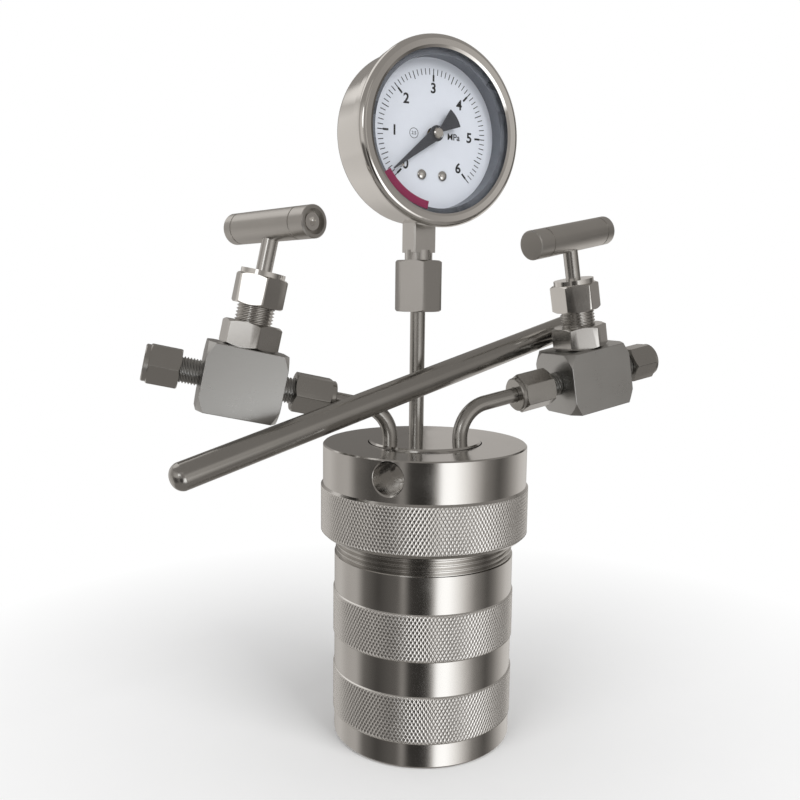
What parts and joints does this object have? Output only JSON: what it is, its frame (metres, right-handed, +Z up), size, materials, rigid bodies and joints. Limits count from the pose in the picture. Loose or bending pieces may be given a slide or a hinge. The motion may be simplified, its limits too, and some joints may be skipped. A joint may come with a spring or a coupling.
{
  "type": "hydrothermal reactor",
  "caption": "Knurled steel pressure kettle with a screw cap, a white inner liner, a dial gauge on a riser and needle valves on bent tubes.",
  "frame": {"origin": "centre of the kettle's flat bottom", "axes": "+Z up along the kettle's axis, +X towards the right-hand valve as seen from the dial's side, -Y towards the dial's viewer"},
  "size_m": [0.2161, 0.0816, 0.2711],
  "materials": {
    "turned_steel": "turned, fine lines round the axis",
    "ground_steel": "ground flat, satin",
    "polished_steel": "polished",
    "ptfe": "waxy white",
    "seal_white": "matt white",
    "window_glass": "clear",
    "dial_white": "satin white",
    "pointer_black": "satin black",
    "movement_brass": "machined",
    "ring_grey": "satin grey"
  },
  "bodies": {
    "kettle": {"kettle_body": "turned_steel", "ptfe_liner": "ptfe"},
    "head": {"steel_lid": "turned_steel", "ptfe_cover": "ptfe", "gauge_tube": "turned_steel", "gauge_nut": "turned_steel", "gauge_washer": "seal_white", "gauge_socket": "turned_steel", "gauge_case": "polished_steel", "gauge_bezel": "polished_steel", "gauge_window": "window_glass", "window_ring": "ring_grey", "gauge_dial": "dial_white", "dial_screws": "polished_steel", "stop_pin": "pointer_black", "movement_frame": "movement_brass", "bourdon_tube": "turned_steel", "tip_link": "movement_brass", "tommy_bar": "turned_steel", "left_tube": "turned_steel", "left_inner_nut": "turned_steel", "left_inner_ferrule": "turned_steel", "left_block": "ground_steel", "left_bonnet": "turned_steel", "left_packing": "seal_white", "left_gland": "turned_steel", "left_gland_nut": "turned_steel", "left_outer_nut": "turned_steel", "left_outer_ferrule": "turned_steel", "right_tube": "turned_steel", "right_inner_nut": "turned_steel", "right_inner_ferrule": "turned_steel", "right_block": "ground_steel", "right_bonnet": "turned_steel", "right_packing": "seal_white", "right_gland": "turned_steel", "right_gland_nut": "turned_steel", "right_outer_nut": "turned_steel", "right_outer_ferrule": "turned_steel"},
    "washer": {"slip_washer": "turned_steel"},
    "cap": {"screw_cap": "turned_steel"},
    "pointer": {"pointer": "pointer_black", "pointer_hub": "movement_brass", "pinion_shaft": "movement_brass"},
    "sector": {"sector_gear": "movement_brass"},
    "left_needle": {"left_needle": "turned_steel"},
    "left_stem": {"left_stem": "turned_steel", "left_handle": "turned_steel", "left_handle_screw": "turned_steel"},
    "right_needle": {"right_needle": "turned_steel"},
    "right_stem": {"right_stem": "turned_steel", "right_handle": "turned_steel", "right_handle_screw": "turned_steel"}
  },
  "joints": [
    {"name": "head_lift", "type": "slide", "parent": "kettle", "child": "head", "axis": [0, 0, 1], "range_m": [0, 0.1]},
    {"name": "cap_turn", "type": "hinge", "parent": "head", "child": "washer", "pos_m": [0, 0, 0.102], "axis": [0, 0, 1], "range_deg": [0, 1350]},
    {"name": "cap_rise", "type": "slide", "parent": "washer", "child": "cap", "axis": [0, 0, 1], "range_m": [0, 0.0075]},
    {"name": "left_needle_lift", "type": "slide", "parent": "head", "child": "left_needle", "axis": [0.2107, -0.0166, 0.9774], "range_m": [0, 0.0025]},
    {"name": "left_stem_turn", "type": "hinge", "parent": "left_needle", "child": "left_stem", "pos_m": [-0.05862, 0.00535, 0.19945], "axis": [0.2107, -0.0166, 0.9774], "range_deg": [0, 900]},
    {"name": "right_needle_lift", "type": "slide", "parent": "head", "child": "right_needle", "axis": [-0.1792, -0.022, 0.9836], "range_m": [0, 0.0025]},
    {"name": "right_stem_turn", "type": "hinge", "parent": "right_needle", "child": "right_stem", "pos_m": [0.0629, 0.00313, 0.19847], "axis": [-0.1792, -0.022, 0.9836], "range_deg": [0, 900]},
    {"name": "pointer_turn", "type": "hinge", "parent": "head", "child": "pointer", "pos_m": [0.00146, 0.01392, 0.2358], "axis": [-0.1908, 0.9816, 0], "range_deg": [0, 270]},
    {"name": "sector_turn", "type": "hinge", "parent": "head", "child": "sector", "pos_m": [0.00146, 0.01392, 0.2216], "axis": [-0.1908, 0.9816, 0], "range_deg": [-35, 0]}
  ],
  "couplings": [
    {"joint": "cap_rise", "follows": "cap_turn", "m_per_rad": 0.00031831},
    {"joint": "left_needle_lift", "follows": "left_stem_turn", "m_per_rad": 0.00015915},
    {"joint": "right_needle_lift", "follows": "right_stem_turn", "m_per_rad": 0.00015915},
    {"joint": "sector_turn", "follows": "pointer_turn", "ratio": -0.128}
  ]
}
